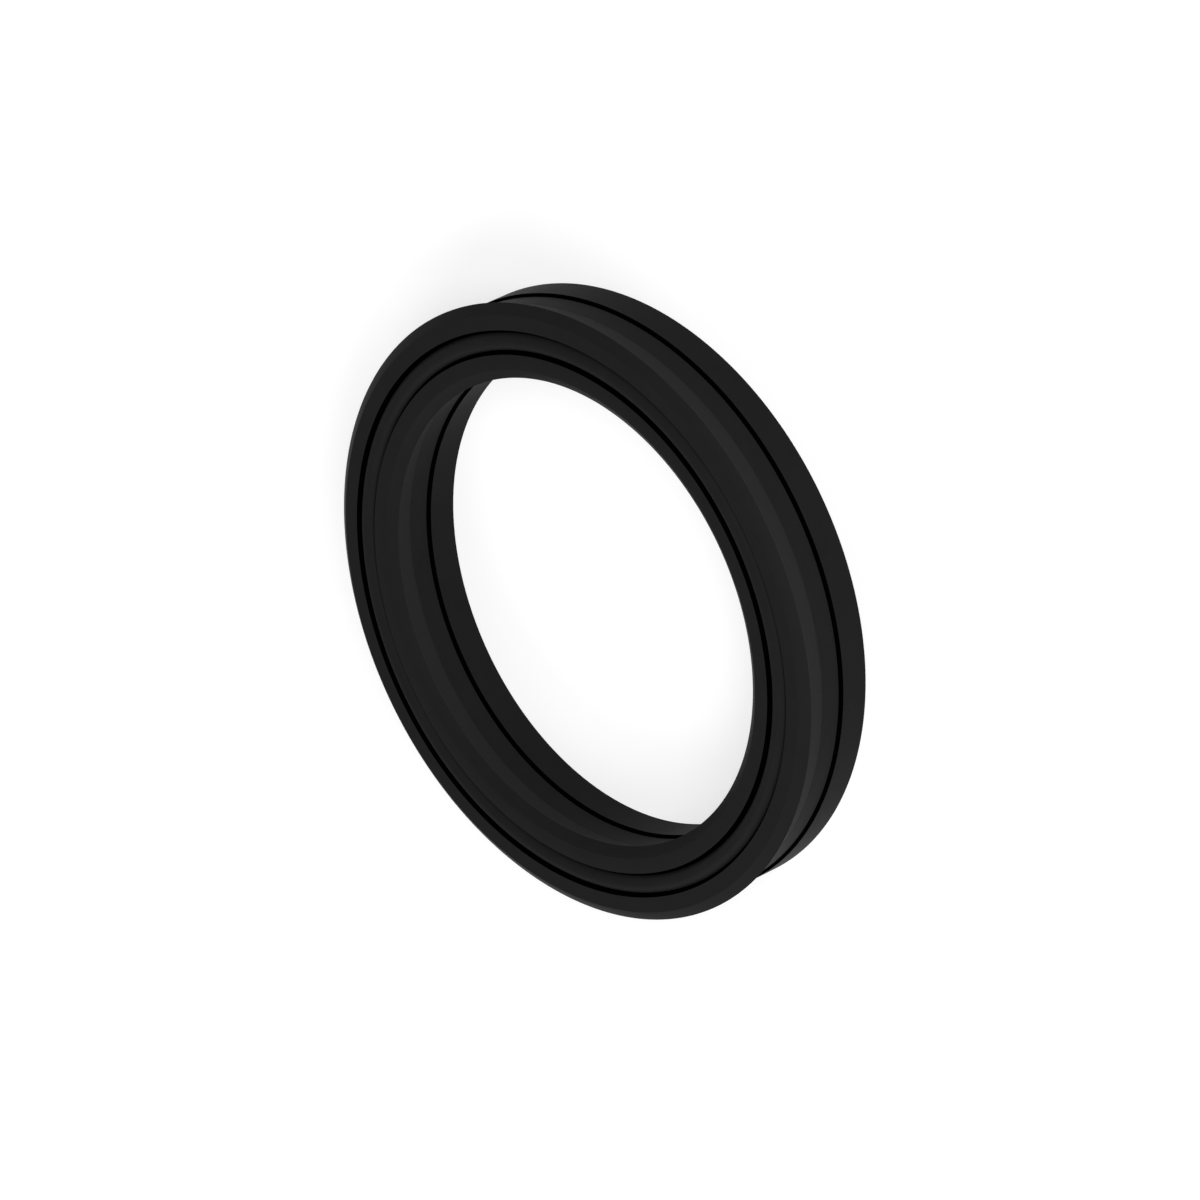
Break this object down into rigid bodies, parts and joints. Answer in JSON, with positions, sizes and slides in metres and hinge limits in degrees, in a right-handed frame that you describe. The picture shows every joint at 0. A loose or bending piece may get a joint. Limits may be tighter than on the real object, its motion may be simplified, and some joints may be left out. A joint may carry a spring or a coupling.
{
  "type": "piston rod seal",
  "caption": "Moulded rubber ring of U section: a flat heel, a waist, flared inner and outer lips with bevelled edges, and a round-topped rib between them.",
  "frame": {"origin": "on the ring's axis, in the plane of the heel face that it lies on", "axes": "+Z along the ring's axis, from the heel to the lips"},
  "size_m": [0.0512, 0.0512, 0.0075],
  "materials": {
    "seal_rubber": "smooth moulded nitrile rubber, near black, with a soft sheen"
  },
  "bodies": {
    "root": {"seal_ring": "seal_rubber"}
  },
  "joints": []
}
